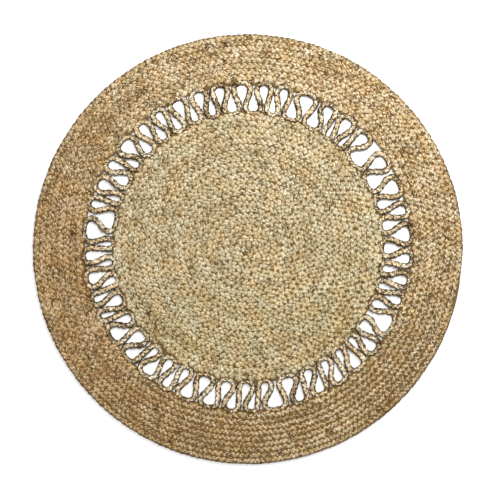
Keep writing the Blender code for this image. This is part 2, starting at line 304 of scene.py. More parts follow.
def coil_route(centre, outer_radius, hole_radius, turns, start, tapers):
    """A coiled braid's middle from its inner end outwards, and its width there."""
    def share(run):
        grown = np.minimum(run / tapers[0], (turns - run) / tapers[1])
        return np.clip(grown, 0.0, 1.0)

    first = FIRST_SHARE * tapers[0]
    last = turns - FIRST_SHARE * tapers[1]
    run = np.arange(math.ceil(first * TURN_STEPS), math.floor(last * TURN_STEPS) + 1) / TURN_STEPS
    angle = math.radians(start) + math.tau * run
    inner = np.zeros_like(angle)
    if hole_radius:
        inner = distance_to_circle(angle, OPENWORK_CENTRE - centre, hole_radius)
    rows = range(1, math.ceil(turns) + 1)
    inside = sum(share(run - row) for row in rows)
    outside = sum(share(run + row) for row in rows)
    row_width = (outer_radius - inner) / (inside + share(run) + outside)
    radius = inner + row_width * (inside + share(run) / 2)
    points = centre + np.stack([radius * np.cos(angle), radius * np.sin(angle)], axis=1)
    width = row_width * share(run)
    disc_wave, band_wave = edge_waves(WAVE_MOST)
    if hole_radius:
        return drawn_in(points, width, (inside, inside + share(run)), band_wave, False)
    return drawn_in(points, width, (outside, outside + share(run)), disc_wave, True)


class Loop:
    """One loop of the openwork: the angles of its two legs, and how far out its crown lies."""

    def __init__(self, angle, clear_width, inward):
        self.leg_width = DISC_LEG_WIDTH if inward else BAND_LEG_WIDTH
        half_width = (clear_width / 1000.0 + self.leg_width) / 2
        if inward:
            self.crown = DISC_RADIUS + DISC_SEAT_GAP + CROWN_WIDTH / 2
            self.widest = self.crown + min(DISC_LOOP_END, half_width)
        else:
            self.crown = BAND_INNER_RADIUS - BAND_SEAT_GAP - CROWN_WIDTH / 2
            self.widest = self.crown - min(BAND_LOOP_END, half_width)
        self.start = math.radians(angle) - half_width / self.widest
        self.end = math.radians(angle) + half_width / self.widest

    def crown_points(self):
        """Angle, radius and width of the braid round the end of the loop."""
        turn = np.linspace(-math.pi / 2, math.pi / 2, CROWN_STEPS)
        aside = np.sign(turn) * np.abs(np.sin(turn)) ** (2.0 / CROWN_POWER)
        rise = np.abs(np.cos(turn)) ** (2.0 / CROWN_POWER)
        angle = (self.start + self.end) / 2 + aside * (self.end - self.start) / 2
        radius = self.widest + (self.crown - self.widest) * rise
        width = self.leg_width + (CROWN_WIDTH - self.leg_width) * rise ** CROWN_FULLNESS
        return np.stack([angle, radius, width], axis=1)

    def leg_points(self, after, turn):
        """The same down the leg from this loop's crown to the next one's."""
        share = np.linspace(0.0, 1.0, LEG_STEPS + 1)[1:-1]
        gentle = share ** 2 * (3.0 - 2.0 * share)
        brisk = share ** 3 * (share * (6.0 * share - 15.0) + 10.0)
        eased = gentle + (LEG_TURN - 1.0) * (brisk - gentle)
        angle = self.end + (after.start + turn - self.end) * eased
        radius = self.widest + (after.widest - self.widest) * share
        width = self.leg_width + (after.leg_width - self.leg_width) * share
        return np.stack([angle, radius, width], axis=1)


def lay_loops():
    """The loops in order, their legs set side by side where they are meant to touch."""
    loops = []
    for outer_angle, outer_width, inner_angle, inner_width in LOOP_PAIRS:
        loops.append(Loop(outer_angle, outer_width, False))
        loops.append(Loop(inner_angle, inner_width, True))
    count = len(loops)
    for most in (DRAWN_TOGETHER, 0.0):
        for place, loop in enumerate(loops):
            beside = loops[(place + 2) % count]
            turn = math.tau * ((place + 2) // count)
            gap = (beside.start + turn - loop.end) * loop.widest - loop.leg_width - NECK_GAP
            move = min(gap / 2, most) / loop.widest
            loop.end += move
            beside.start -= move
    return loops


def spaced(points, run, wanted):
    """The values of a closed row of points at wanted places along it."""
    closed = np.vstack([points, points[:1]])
    return np.stack([np.interp(wanted, run, column) for column in closed.T], axis=1)


def averaged(values):
    return (np.roll(values, 1, axis=0) + 2.0 * values + np.roll(values, -1, axis=0)) / 4.0


def overlap_push(route, width):
    """How far each point is to move so that the braid doesn't run into its own other legs."""
    push = np.zeros_like(route)
    most = np.zeros(len(route))
    for steps in range(round(NEAREST_LEG / ROUTE_STEP), round(FURTHEST_LEG / ROUTE_STEP)):
        for offset in (steps, -steps):
            away = route - np.roll(route, offset, axis=0)
            distance = np.hypot(away[:, 0], away[:, 1])
            short = (width + np.roll(width, offset)) / 2 + NECK_GAP - distance
            worse = short > most
            most[worse] = short[worse]
            push[worse] = away[worse] * (short[worse] / distance[worse] / 2)[:, None]
    return push


@functools.cache
def loop_route():
    """The closed route of the loop braid's middle about the openwork's, and its width there."""
    loops = lay_loops()
    stretches = []
    for place, loop in enumerate(loops):
        after = loops[(place + 1) % len(loops)]
        turn = math.tau * ((place + 1) // len(loops))
        stretches += [loop.crown_points(), loop.leg_points(after, turn)]
    angle, radius, width = np.concatenate(stretches).T
    points = np.stack([radius * np.cos(angle), radius * np.sin(angle), width], axis=1)
    steps = np.diff(points, axis=0, append=points[:1])
    run = np.concatenate([[0.0], np.cumsum(np.hypot(steps[:, 0], steps[:, 1]))])
    wanted = np.linspace(0.0, run[-1], round(run[-1] / ROUTE_STEP), endpoint=False)
    points = spaced(points, run, wanted)
    route, width = points[:, :2], points[:, 2]
    for _ in range(PUSH_ROUNDS):
        push = overlap_push(route, width)
        for _ in range(PUSH_SPREAD):
            push = averaged(push)
        route = route + push
        route = route + 2.0 * STRAIGHTENING * (averaged(route) - route)
        out = np.hypot(route[:, 0], route[:, 1])
        least = DISC_RADIUS + DISC_SEAT_GAP + width / 2
        most = BAND_INNER_RADIUS - BAND_SEAT_GAP - width / 2
        route = route * (np.clip(out, least, most) / out)[:, None]
    return route, width


@functools.cache
def edge_waves(most):
    """How far the disc's edge and the band's reach in between the loops, by angle."""
    route, width = loop_route()
    furthest = np.full(WAVE_ANGLES, DISC_RADIUS)
    nearest = np.full(WAVE_ANGLES, BAND_INNER_RADIUS)
    angle = np.arctan2(route[:, 1], route[:, 0])
    radius = np.hypot(route[:, 0], route[:, 1])
    half = width / 2
    step = math.tau / WAVE_ANGLES
    window = math.ceil((half / radius).max() / step)
    for offset in range(-window, window + 1):
        place = np.round(angle / step).astype(int) + offset
        aside = radius * np.sin(place * step - angle)
        within = np.abs(aside) < half
        bulge = np.sqrt(half[within] ** 2 - aside[within] ** 2)
        along = radius[within] * np.cos(place[within] * step - angle[within])
        np.maximum.at(furthest, place[within] % WAVE_ANGLES, along + bulge)
        np.minimum.at(nearest, place[within] % WAVE_ANGLES, along - bulge)
    waves = []
    for room, edge in ((nearest - DISC_RADIUS, DISC_RADIUS),
                       (BAND_INNER_RADIUS - furthest, BAND_INNER_RADIUS)):
        wide = eased(open_width(room > NOTCH_MOUTH) * edge, *NOTCH_WIDTHS)
        wave = np.clip(room - WAVE_GAP, 0.0, most + (NOTCH_LEAST - most) * wide)
        for _ in range(WAVE_SPREAD):
            wave = averaged(wave)
        waves.append(wave)
    return waves


def open_width(opened):
    """For each angle at which the ring is open, how much it turns to the next closed ones."""
    count = len(opened)
    closed = np.flatnonzero(~np.tile(opened, 3))
    place = np.arange(count, 2 * count)
    following = np.searchsorted(closed, place)
    run = closed[np.minimum(following, len(closed) - 1)] - closed[following - 1] - 1
    return np.where(opened, run, 0) * math.tau / count


def drawn_in(points, width, rows, wave, outwards):
    """A coil's route with the rows at the openwork drawn in between the loops.

    rows holds, for each point, the number of rows between the coil's edge and the row's own two
    edges, nearer one first.
    """
    away = points - OPENWORK_CENTRE
    angle = np.arctan2(away[:, 1], away[:, 0]) % math.tau
    place = angle / math.tau * WAVE_ANGLES
    room = np.interp(place, np.arange(WAVE_ANGLES + 1), np.append(wave, wave[0]))
    near, far = (room * np.exp(-WAVE_FADE * edge) for edge in rows)
    shift = (near + far) / 2 * (1.0 if outwards else -1.0)
    return points + unit(away) * shift[:, None], width + near - far


# ---------------------------------------------------------------- strands

def wander(distance, total, spacing, seed):
    """Values from -1 to 1 that drift smoothly along a length, with a new draw at each spacing."""
    count = max(2, round(total / spacing))
    draws = np.random.default_rng(seed).uniform(-1.0, 1.0, count)
    place = distance / total * count
    step = np.floor(place).astype(int)
    ease = place - step
    ease = ease * ease * (3.0 - 2.0 * ease)
    return draws[step % count] * (1.0 - ease) + draws[(step + 1) % count] * ease


def change(values, closed):
    """Half the difference between each value's two neighbours."""
    if closed:
        return (np.roll(values, -1, axis=0) - np.roll(values, 1, axis=0)) / 2.0
    return np.gradient(values, axis=0)


def unit(vectors):
    return vectors / np.linalg.norm(vectors, axis=-1, keepdims=True)


class Strands:
    """The tubes of one piece, gathered until they are made into one mesh.

    Each tube has its rings of points, a fibre coordinate and a painted shade for every point, its
    strand's number, a tone for every ring, and whether it closes on itself.
    """

    def __init__(self):
        self.tubes = []

    def make(self, name, material):
        sides = len(SECTION)
        points, fibres, shades, strands, grains, quads, maps = [], [], [], [], [], [], []
        first = 0
        bands = self.map_bands()
        for (rings, fibre, shade, strand, grain, closed), band in zip(self.tubes, bands):
            count = len(rings)
            points.append(rings.reshape(-1, 3))
            fibres.append(fibre.reshape(-1, 3))
            shades.append(shade.ravel())
            strands.append(np.full(count * sides, float(strand)))
            grains.append(np.repeat(grain, sides))
            steps = count if closed else count - 1
            ring = np.arange(steps)[:, None]
            side = np.arange(sides)[None, :]
            after, beside = (ring + 1) % count, (side + 1) % sides
            faces = np.stack([ring * sides + side, ring * sides + beside,
                              after * sides + beside, after * sides + side], axis=-1)
            quads.append(first + faces.reshape(-1, 4))
            maps.append(self.strip_map(band, steps, sides))
            if not closed:
                for cap, flip in ((np.array(CAP)[:, ::-1], 0), (np.array(CAP), count - 1)):
                    quads.append(first + flip * sides + cap)
                    maps.append(np.full((len(CAP), 4, 2), CAP_MAP))
            first += count * sides
        return make_mesh(name, np.concatenate(points), np.concatenate(quads), material,
                         np.concatenate(maps), fibre=np.concatenate(fibres),
                         shade=np.concatenate(shades), strand=np.concatenate(strands),
                         grain=np.concatenate(grains))

    def map_bands(self):
        """Where each tube's strip starts among the rows of the baking map."""
        total = sum(len(rings) for rings, *_ in self.tubes)
        self.rings_in_row = max(8, round(math.sqrt(total * len(SECTION) * MAP_FILL)))
        bands, row = [], 0
        for rings, *_ in self.tubes:
            bands.append(row)
            row += math.ceil(len(rings) / self.rings_in_row)
        self.map_rows = row
        return bands

    def strip_map(self, band, steps, sides):
        """The tube laid flat in strips across the map, one under the other."""
        ring = np.arange(steps)[:, None, None]
        side = np.arange(sides)[None, :, None]
        corner_ring = np.array([0, 0, 1, 1])[None, None, :]
        corner_side = np.array([0, 1, 1, 0])[None, None, :]
        across = (ring % self.rings_in_row + corner_ring + 0 * side) / self.rings_in_row
        height = MAP_INSET + (side + corner_side + 0 * ring) / sides * (1.0 - 2.0 * MAP_INSET)
        up = (band + ring // self.rings_in_row + height) / self.map_rows
        return np.stack([across, up], axis=-1).reshape(-1, 4, 2)


def make_mesh(name, points, quads, material, flat_map=None, **values):
    """One object of four-cornered faces, with values at its points for its material to read."""
    mesh = bpy.data.meshes.new(name)
    mesh.vertices.add(len(points))
    mesh.vertices.foreach_set("co", points.astype(np.float32).ravel())
    mesh.loops.add(len(quads) * 4)
    mesh.loops.foreach_set("vertex_index", quads.astype(np.int32).ravel())
    mesh.polygons.add(len(quads))
    mesh.polygons.foreach_set("loop_start", np.arange(0, len(quads) * 4, 4, dtype=np.int32))
    mesh.update(calc_edges=True)
    for value_name, value in values.items():
        kind, field = ("FLOAT_VECTOR", "vector") if value.ndim == 2 else ("FLOAT", "value")
        attribute = mesh.attributes.new(value_name, kind, "POINT")
        attribute.data.foreach_set(field, value.astype(np.float32).ravel())
    if flat_map is not None:
        layer = mesh.uv_layers.new(name="OFBake")
        layer.data.foreach_set("uv", flat_map.astype(np.float32).ravel())
    mesh.shade_smooth()
    mesh.set_sharp_from_angle(angle=SHARP_ANGLE)
    mesh.materials.append(material)
    piece = bpy.data.objects.new(name, mesh)
    bpy.context.scene.collection.objects.link(piece)
    return piece


class Braid:
    """A flat braid of three strands along a route, its rings worked out a twelfth of a plait apart."""

    def __init__(self, route, width, closed, seed, roll=0.0, tight_angle=None):
        sizes = bpy.context.scene.rug_sizes
        self.closed, self.seed, self.roll = closed, seed, roll
        self.uneven = sizes.unevenness
        share = width / ROW_WIDTH
        ends = np.vstack([route, route[:1]]) if closed else route
        share = np.append(share, share[0]) if closed else share
        run = np.concatenate([[0.0], np.cumsum(np.hypot(*np.diff(ends, axis=0).T))])
        self.total = run[-1]
        reach, spacing = PACE_STRAY
        pace = sizes.plait_length * np.clip(share, *PLAIT_SHARES)
        pace = pace * (1.0 + reach * self.uneven * wander(run, self.total, spacing, seed))
        turned = np.concatenate([[0.0], np.cumsum(np.diff(run) / (pace[1:] + pace[:-1]) * 2.0)])
        plaits = max(1, round(turned[-1]))
        turned *= plaits / turned[-1]
        wanted = np.arange(plaits * STATIONS + (0 if closed else 1)) / STATIONS
        self.run = np.interp(wanted, turned, run)
        self.share = np.interp(wanted, turned, share)
        self.phase = math.tau * wanted
        self.middle = np.stack([np.interp(wanted, turned, ends[:, axis]) for axis in (0, 1)], axis=1)
        self.tight = np.zeros(len(wanted))
        if tight_angle is not None:
            angle = np.arctan2(self.middle[:, 1], self.middle[:, 0])
            self.tight = eased(np.cos(angle - math.radians(tight_angle)), *TIGHT_REACH)
        self.strand_width = sizes.strand_width
        self.strand_thickness = sizes.strand_thickness

    def painted_shading(self, rings, flank):
        """From 0 to 1, how much painted shade the strand gets for its place: none in a plain braid."""
        return np.zeros_like(flank)

    def stray(self, reach_and_spacing, offset):
        """A smooth random value along the braid, another one for each offset."""
        reach, spacing = reach_and_spacing
        return reach * (self.uneven * wander(self.run, self.total, spacing, self.seed * 100 + offset))

    def frame_vectors(self):
        """The braid's middle, the directions to its right and out of its upper face, and its roll."""
        ahead = unit(change(self.middle, self.closed))
        side = np.stack([ahead[:, 1], -ahead[:, 0], np.zeros(len(ahead))], axis=1)
        middle = np.column_stack([self.middle, np.full(len(ahead), 0.0)])
        middle = middle + side * self.stray(MIDDLE_STRAY, 1)[:, None]
        roll = self.roll * self.stray(ROLL_STRAY, 2)
        up = np.array([0.0, 0.0, 1.0])
        tilted = side * np.cos(roll)[:, None] + up * np.sin(roll)[:, None]
        above = up * np.cos(roll)[:, None] - side * np.sin(roll)[:, None]
        return middle, tilted, above, roll

    def strand(self, number):
        """The rings, fibre coordinates, painted shade and crests' numbers of one of the three strands.
        """
        middle, side, above, roll = self.frame_vectors()
        low = np.sqrt(np.clip(self.share, 0.0, 1.0))
        half_thick = self.strand_thickness / 2 * low
        half_wide = self.strand_width / 2 * self.share
        rise = (BRAID_HEIGHT / 2 * low - half_thick) * (CREST_RISE - TIGHT_LOW * self.tight)
        turn = self.phase + math.tau * number / 3 + self.stray(TURN_STRAY, 10 + number)
        swing = STRAND_REACH * self.share * (1.0 + self.stray(SWING_STRAY, 20 + number))
        swing = swing * (1.0 - TIGHT_NARROW * self.tight)
        across = swing * (np.sin(turn) + EDGE_HOLD * np.sin(3.0 * turn))
        crest = np.sin(2.0 * turn - CREST_LAG)
        height = rise * crest * (1.0 + self.stray(CREST_STRAY, 30 + number))
        lift = BRAID_HEIGHT / 2 * low + np.abs(np.sin(roll)) * ROLL_LIFT
        lift = lift - (DOME + TIGHT_DOME * self.tight) * low * np.sin(turn) ** 2
        centre = middle + side * across[:, None] + above * height[:, None]
        centre[:, 2] += lift
        ahead = unit(change(centre, self.closed))
        out = unit(np.cross(ahead, above))
        face = np.cross(out, ahead)
        edge = np.sin(turn) ** 4
        half_wide = half_wide * (1.0 + self.stray(WIDTH_STRAY, 40 + number) + CREST_BULGE * crest)
        thicker = self.stray(THICKNESS_STRAY, 50 + number) + EDGE_THICKNESS * edge
        half_thick = half_thick * (1.0 + thicker)
        section = np.array(SECTION)
        wide = half_wide[:, None] * section[:, 0]
        thick = half_thick[:, None] * section[:, 1]
        rings = centre[:, None, :] + out[:, None, :] * wide[..., None]
        rings = rings + face[:, None, :] * thick[..., None]
        aside = ((rings - middle[:, None, :]) * side[:, None, :]).sum(axis=2)
        flank = np.abs(aside) / (self.share * ROW_WIDTH / 2)[:, None]
        shade = self.painted_shading(rings, flank)
        rings[..., 2] = np.maximum(rings[..., 2], 0.0)
        twist = FIBRE_TWIST * self.run[:, None]
        along = np.repeat(self.run[:, None], len(section), axis=1)
        fibre = np.stack([along, wide * np.cos(twist) - thick * np.sin(twist),
                          wide * np.sin(twist) + thick * np.cos(twist)], axis=-1)
        crests = np.floor((turn - CREST_LAG / 2) / math.pi - CREST_START)
        grain = crests * 3.0 + number
        return rings, fibre, shade, grain


class LoopBraid(Braid):
    """The braid of the loops, with painted shade down its open sides but not where it is sewn on."""

    def painted_shading(self, rings, flank):
        away = rings[..., :2] - OPENWORK_CENTRE
        radius = np.hypot(away[..., 0], away[..., 1])
        at_disc = 1.0 - eased(radius - DISC_RADIUS, *SEWN_ROOM)
        at_band = 1.0 - eased(BAND_INNER_RADIUS - radius, *SEWN_ROOM)
        return eased(flank, *FLANK_SHARES) * (1.0 - DISC_PALER * at_disc - BAND_PALER * at_band)


class BandBraid(Braid):
    """The braid of the outer band, with painted shade where it turns down at the rug's rim."""

    def painted_shading(self, rings, flank):
        away = rings[..., :2] - RUG_CENTRE
        return eased(np.hypot(away[..., 0], away[..., 1]), RUG_RADIUS - RIM_SHADE, RUG_RADIUS)


def eased(value, low, high):
    """The value's place between low and high, from 0 to 1."""
    share = np.clip((value - low) / (high - low), 0.0, 1.0)
    return share * share * (3.0 - 2.0 * share)


def plaited_pieces(names, braid, material, body="root"):
    """The braid's strands as one piece, or cut across into several of equal length."""
    count = len(braid.run)
    generator = np.random.default_rng(braid.seed)
    cuts = [round(count * place / len(names)) for place in range(len(names) + 1)]
    bundles = [Strands() for _ in names]
    for number in range(3):
        rings, fibre, shade, grain = braid.strand(number)
        tones = generator.uniform(0.0, 1.0, int(grain.max() - grain.min()) + 1)
        tone = tones[(grain - grain.min()).astype(int)]
        for bundle, begin, end in zip(bundles, cuts, cuts[1:]):
            part = slice(begin, min(end + 1, count))
            whole = braid.closed and len(names) == 1
            bundle.tubes.append((rings[part], fibre[part], shade[part], braid.seed * 3 + number,
                                 tone[part], whole))
    pieces = []
    for name, bundle in zip(names, bundles):
        piece = bundle.make(name, material)
        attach(piece, body)
        pieces.append(piece)
    return pieces


def shaded_loop_core(route, width, material):
    """A flat ribbon of matted fibre that fills the loop braid between its strands, dark as painted shade
    at its edges.
    """
    ahead = unit(change(route, True))
    side = np.stack([ahead[:, 1], -ahead[:, 0]], axis=1) * (CORE_SHARE * width / 2)[:, None]
    rows = []
    for sign, height in ((-1.0, CORE_FOOT), (1.0, CORE_FOOT), (1.0, CORE_TOP), (-1.0, CORE_TOP)):
        rows.append(np.column_stack([route + sign * side, np.full(len(route), height)]))
    core = make_mesh("shaded_loop_core", *ribbed(rows), material)
    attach(core, "root")
    return core


def ribbed(rows):
    """Points and faces of a closed ring whose section has one corner on each of the rows."""
    count, corners = len(rows[0]), len(rows)
    place = np.arange(count)[:, None]
    corner = np.arange(corners)[None, :]
    after, beside = (place + 1) % count, (corner + 1) % corners
    quads = np.stack([place * corners + corner, place * corners + beside,
                      after * corners + beside, after * corners + corner], axis=-1)
    return np.stack(rows, axis=1).reshape(-1, 3), quads.reshape(-1, 4)[:, ::-1]


def fibre_layer(name, edges, material):
    """A thin closed layer of matted fibre between two edges, each a ring of points, dark as the painted
    shade between the rows.
    """
    rows = []
    for edge, height in ((edges[0], LAYER_FOOT), (edges[1], LAYER_FOOT),
                         (edges[1], LAYER_TOP), (edges[0], LAYER_TOP)):
        rows.append(np.column_stack([edge, np.full(LAYER_STEPS, height)]))
    piece = make_mesh(name, *ribbed(rows), material)
    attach(piece, "root")
    return piece


def ring_points(centre, radius):
    """Evenly turned points about a centre; the radius is one number or one for each point."""
    angle = np.linspace(0.0, math.tau, LAYER_STEPS, endpoint=False)
    return centre + np.stack([radius * np.cos(angle), radius * np.sin(angle)], axis=1)


def openwork_edge(radius, outwards):
    """A layer's edge at the openwork, which fills the small gaps between the loops' ends with fibre dark
    as painted shade.
    """
    room = edge_waves(NOTCH_MOST)[0 if outwards else 1]
    place = np.arange(LAYER_STEPS) * WAVE_ANGLES // LAYER_STEPS
    return ring_points(OPENWORK_CENTRE, radius + room[place] * (1.0 if outwards else -1.0))


# ---------------------------------------------------------------- materials

class Nodes:
    """Adds nodes to a material from left to right and joins them up."""

    def __init__(self, material):
        self.tree = material.node_tree

    def add(self, kind, inputs=None, **settings):
        node = self.tree.nodes.new(kind)
        for setting, value in settings.items():
            setattr(node, setting, value)
        for name, value in (inputs or {}).items():
            socket = node.inputs[name]
            if isinstance(value, bpy.types.NodeSocket):
                self.tree.links.new(value, socket)
            else:
                socket.default_value = value
        return node

    def attribute(self, name, output):
        return self.add("ShaderNodeAttribute", attribute_name=name).outputs[output]

    def maths(self, operation, *values):
        node = self.add("ShaderNodeMath", operation=operation)
        for socket, value in zip(node.inputs, values):
            if isinstance(value, bpy.types.NodeSocket):
                self.tree.links.new(value, socket)
            else:
                socket.default_value = value
        return node.outputs[0]

    def clamped(self, value):
        return self.add("ShaderNodeClamp", {"Value": value}).outputs[0]

    def shifted(self, vector, offset):
        return self.add("ShaderNodeVectorMath", {0: vector, 1: offset}, operation="ADD").outputs[0]

    def stretched(self, vector, scale):
        return self.add("ShaderNodeVectorMath", {0: vector, 1: scale}, operation="MULTIPLY").outputs[0]

    def noise(self, vector, detail, roughness):
        wanted = {"Vector": vector, "Scale": 1.0, "Detail": detail, "Roughness": roughness}
        return self.add("ShaderNodeTexNoise", wanted).outputs["Fac"]

    def between(self, value, low, high, to_low=0.0, to_high=1.0):
        """The value's place between low and high, eased, and set between two others."""
        wanted = {"Value": value, "From Min": low, "From Max": high,
                  "To Min": to_low, "To Max": to_high}
        node = self.add("ShaderNodeMapRange", wanted, interpolation_type="SMOOTHSTEP")
        return node.outputs["Result"]

    def mix(self, share, first, second, blend="MIX"):
        node = self.tree.nodes.new("ShaderNodeMix")
        node.data_type = "RGBA"
        node.blend_type = blend
        for name, value in {"Factor": share, "A": first, "B": second}.items():
            socket = next(s for s in node.inputs if s.name == name and s.enabled)
            if isinstance(value, bpy.types.NodeSocket):
                self.tree.links.new(value, socket)
            else:
                socket.default_value = value
        return next(s for s in node.outputs if s.enabled)


def solid_colour(colour, strength=1.0):
    return tuple(channel * strength for channel in colour) + (1.0,)


def new_material(name):
    material = bpy.data.materials.new(name)
    material.use_nodes = True
    return material, Nodes(material), material.node_tree.nodes["Principled BSDF"]


# The patterns in the jute, each of them a noise: what it runs over, how that is stretched and then
# moved, and the noise's detail and roughness.  "own" runs along each strand by itself, "fibre" along
# and across its fibres, both with the strand, and "place" over the rug.
PATTERNS = {
    "tone":     ("own", (30.0, 1.0, 1.0), (0.0, 0.0, 0.0), 3.0, 0.6),
    "harvest":  ("own", (3.2, 0.0, 0.0), (9.0, 4.0, 0.0), 4.0, 0.7),
    "tanned":   ("own", (75.0, 3.1, 1.0), (0.0, 0.0, 0.0), 2.0, 0.5),
    "streaks":  ("fibre", (90.0, 900.0, 900.0), (0.0, 0.0, 0.0), 3.0, 0.6),
    "flecks":   ("fibre", (85.0, 240.0, 240.0), (0.0, 0.0, 0.0), 1.0, 0.4),
    "tufts":    ("place", (350.0, 350.0, 350.0), (0.0, 0.0, 0.0), 2.0, 0.65),
    "matting":  ("place", (420.0, 420.0, 420.0), (0.0, 0.0, 0.0), 3.0, 0.6),
    "patches":  ("place", (17.0, 17.0, 17.0), (0.0, 0.0, 0.0), 3.0, 0.6),
    "rosy":     ("place", (21.0, 21.0, 21.0), (0.0, 0.0, 0.0), 3.0, 0.6),
    "greyed":   ("place", (15.0, 15.0, 15.0), (55.5, 28.5, 0.0), 3.0, 0.6),
    "clusters": ("place", (9.0, 9.0, 9.0), (72.9, 47.7, 0.0), 3.0, 0.6),
}
STRAND_STEP = 7.31              # sets one strand's own patterns apart from the next one's
MOST_VALUES = (0.30, 0.70)      # most of a noise lies between these

# How much each pattern lightens or darkens the jute.
LIGHTENING = {"tone": 0.05, "streaks": 0.20, "tufts": 0.45, "patches": 0.06, "harvest": 0.14}
HEIGHTS = (0.0045, 0.0084)      # between which painted shade at the strands' feet gives way to painted light on their tops
# how much painted light the strands' tops get
TOP_PAINTED_LIGHT = 0.03

# Shares of a tint or of bark: the two values of its pattern between which it comes in, and its most.
CLUSTERS_FROM = (0.35, 0.65)
TANNED_FROM = (0.70, 0.76)
TANNED_MOST = 0.85
ROSY_FROM = (0.40, 0.62)
ROSY_MOST = 0.9
GREYED_FROM = (0.42, 0.62)
FLECKS_FROM = (0.71, 0.75)
FLECKS_MOST = 0.95

ROSY_TINT = (1.0, 0.89, 0.74, 1.0)
GREY_TINT = (0.84, 0.93, 1.0, 1.0)
NO_TINT = (1.0, 1.0, 1.0, 1.0)
# the matted fibre's colours, dark as painted shade in the gaps
MATTED_SHADE_DARK = (0.07, 0.032, 0.005, 1.0)
MATTED_SHADE_PALE = (0.24, 0.135, 0.03, 1.0)

DULL_AND_SHINY = (0.92, 0.70)   # roughness of the darkest and palest streaks
MATTING_ROUGHNESS = 0.95
FLOOR_ROUGHNESS = 0.9
JUTE_SHEEN = 0.25
FLOOR_SHEEN = 0.1
STREAK_RELIEF = {"Strength": 0.8, "Distance": 0.0010}
MATTING_RELIEF = {"Strength": 0.6, "Distance": 0.0006}


class JuteLook:
    """How the colours of one piece's jute are mixed."""

    def __init__(self, colour, level, dark_fibre_and_shade, depth, grains, tanned, greyed, bark, contrast,
                 shaded=0.0, shaded_side_angle=0.0, shaded_side_from=(0.0, 1.0), side_shade_tint=NO_TINT):
        self.colour = colour        # the main one
        self.level = level          # 0 for the colour of dark fibre and painted shade, 0.5 for the main one, 1 for the palest
        self.dark_fibre_and_shade = dark_fibre_and_shade        # strength of the colour of dark fibre and painted shade in the creases
        self.depth = depth          # how much painted shade darkens the strands' feet
        self.grains = grains        # how much the strands' single crests differ
        self.tanned = tanned        # how much of the fibre is tanned
        self.greyed = greyed        # how grey the greyed patches are
        self.bark = bark            # how much bark there is
        self.contrast = contrast    # of the patterns that lighten and darken
        self.shaded = shaded        # how dark the painted shade down the loops' sides and at the band's rim is
        # painted shade: the piece gets darker and warmer towards this side
        turn = math.radians(shaded_side_angle)
        self.shaded_side = (math.cos(turn), math.sin(turn), 0.0)
        self.shaded_side_from = shaded_side_from  # how far to that side the painted shade begins and is full
        self.side_shade_tint = side_shade_tint


def pattern(nodes, name, coordinates):
    over, stretch, move, detail, roughness = PATTERNS[name]
    vector = nodes.stretched(coordinates[over], stretch)
    if any(move):
        vector = nodes.shifted(vector, move)
    return nodes.noise(vector, detail, roughness)


